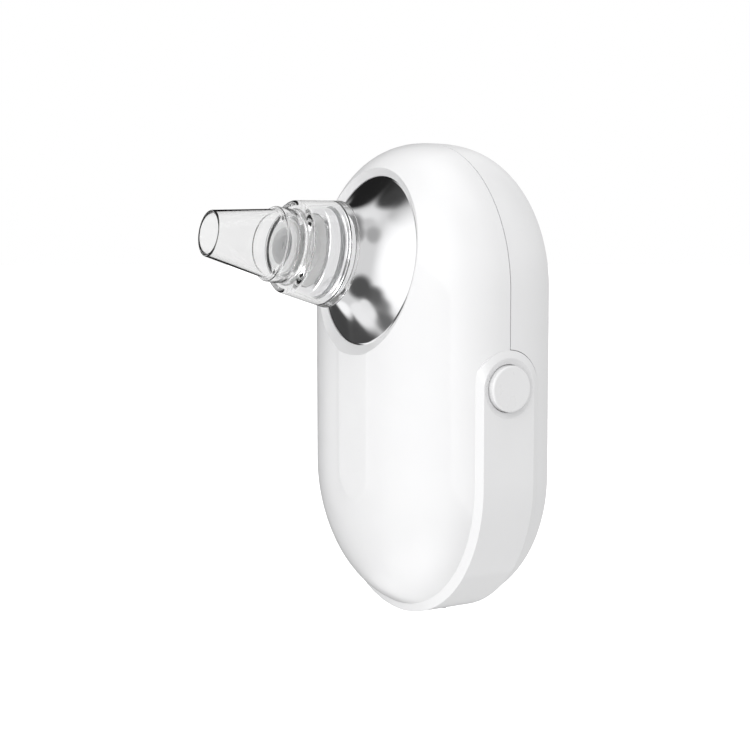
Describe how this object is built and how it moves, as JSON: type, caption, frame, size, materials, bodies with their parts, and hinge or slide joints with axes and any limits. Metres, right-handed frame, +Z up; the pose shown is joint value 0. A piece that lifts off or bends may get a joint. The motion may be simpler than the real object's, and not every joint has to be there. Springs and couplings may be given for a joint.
{
  "type": "nasal aspirator",
  "caption": "Hand-held electric aspirator: pebble-shaped white body with a side button, a polished horn, a clear cup and a clear pull-off suction tip, with its pump inside.",
  "frame": {"origin": "middle of the flat back, at mid height of the casing", "axes": "+Z up along the body's long axis, -Y forward to the nozzle, +X to the side of the power button"},
  "size_m": [0.0664, 0.0721, 0.1043],
  "materials": {
    "white_shell": "satin gloss moulded white",
    "white_button": "satin gloss moulded white",
    "white_plug": "matte white rubber",
    "white_seat": "moulded white",
    "polished_metal": "polished",
    "clear_plastic": "clear polished plastic",
    "seal_silicone": "translucent silicone",
    "black_rubber": "matte",
    "grey_plastic": "moulded grey",
    "foam": "open foam",
    "switch_plastic": "moulded black",
    "plunger_plastic": "moulded",
    "circuit_board": "solder mask",
    "electronics": "chip black",
    "screw_steel": "zinc plated",
    "bright_steel": "bright",
    "bronze": "sintered",
    "magnet": "ferrite",
    "copper_iron": "laminations and windings",
    "brass_weight": "turned",
    "pump_plastic": "moulded",
    "battery_wrap": "foil pouch",
    "wire_jacket": "flexible jacket"
  },
  "bodies": {
    "casing": {"front_shell": "white_shell", "rear_shell": "white_shell", "screw_plugs": "white_plug", "nozzle_horn": "polished_metal", "charge_light_pipe": "clear_plastic", "cup_seal": "seal_silicone", "suction_tube": "seal_silicone", "exhaust_tube": "seal_silicone", "valve_disc": "seal_silicone", "pump_diaphragm": "seal_silicone", "horn_gasket": "black_rubber", "power_button_boot": "black_rubber", "mode_button_boot": "black_rubber", "pump_dampers": "black_rubber", "suction_manifold": "grey_plastic", "chassis": "grey_plastic", "filter_seat": "white_seat", "filter_sponge": "foam", "exhaust_muffler": "foam", "battery_pad": "foam", "power_switch": "switch_plastic", "mode_switch": "switch_plastic", "port_tongue": "switch_plastic", "motor_end_cap": "switch_plastic", "power_switch_board": "circuit_board", "mode_switch_board": "circuit_board", "main_board": "circuit_board", "charge_board": "circuit_board", "board_components": "electronics", "charge_led": "electronics", "case_screws": "screw_steel", "board_screws": "screw_steel", "charge_board_screws": "screw_steel", "strap_screws": "screw_steel", "pump_screws": "screw_steel", "motor_can": "bright_steel", "charging_port": "bright_steel", "pump_strap": "bright_steel", "motor_bearings": "bronze", "motor_magnets": "magnet", "pump_housing": "pump_plastic", "pump_chamber_plate": "pump_plastic", "pump_head": "pump_plastic", "battery_cell": "battery_wrap", "battery_wires": "wire_jacket", "motor_wires": "wire_jacket"},
    "power_button": {"power_button": "white_button", "power_switch_plunger": "plunger_plastic"},
    "mode_button": {"mode_button": "white_button", "mode_switch_plunger": "plunger_plastic"},
    "cup": {"collection_cup": "clear_plastic"},
    "tip": {"suction_tip": "clear_plastic", "tip_seal": "seal_silicone"},
    "rotor": {"motor_shaft": "bright_steel", "motor_armature": "copper_iron", "pump_eccentric": "brass_weight"},
    "rod": {"connecting_rod": "pump_plastic", "rod_bearing": "bright_steel"}
  },
  "joints": [
    {"name": "power_button_press", "type": "slide", "parent": "casing", "child": "power_button", "axis": [-1, 0, 0], "range_m": [0, 0.0006], "stiffness_N_per_m": 1200, "springref_m": -0.0002},
    {"name": "mode_button_press", "type": "slide", "parent": "casing", "child": "mode_button", "axis": [1, 0, 0], "range_m": [0, 0.0006], "stiffness_N_per_m": 1200, "springref_m": -0.0002},
    {"name": "cup_pull_off", "type": "slide", "parent": "casing", "child": "cup", "axis": [0, -0.9885, 0.1513], "range_m": [0, 0.016]},
    {"name": "tip_pull_off", "type": "slide", "parent": "cup", "child": "tip", "axis": [0, -0.9885, 0.1513], "range_m": [0, 0.012]},
    {"name": "motor_spin", "type": "hinge", "parent": "casing", "child": "rotor", "pos_m": [0.005, -0.022, 0], "axis": [0, 0, 1], "continuous": true, "deforming": ["pump_diaphragm"]},
    {"name": "rod_swing", "type": "hinge", "parent": "rotor", "child": "rod", "pos_m": [0.0062, -0.022, 0], "axis": [0, 0, 1], "continuous": true}
  ],
  "couplings": [
    {"joint": "rod_swing", "follows": "motor_spin", "ratio": -1}
  ]
}
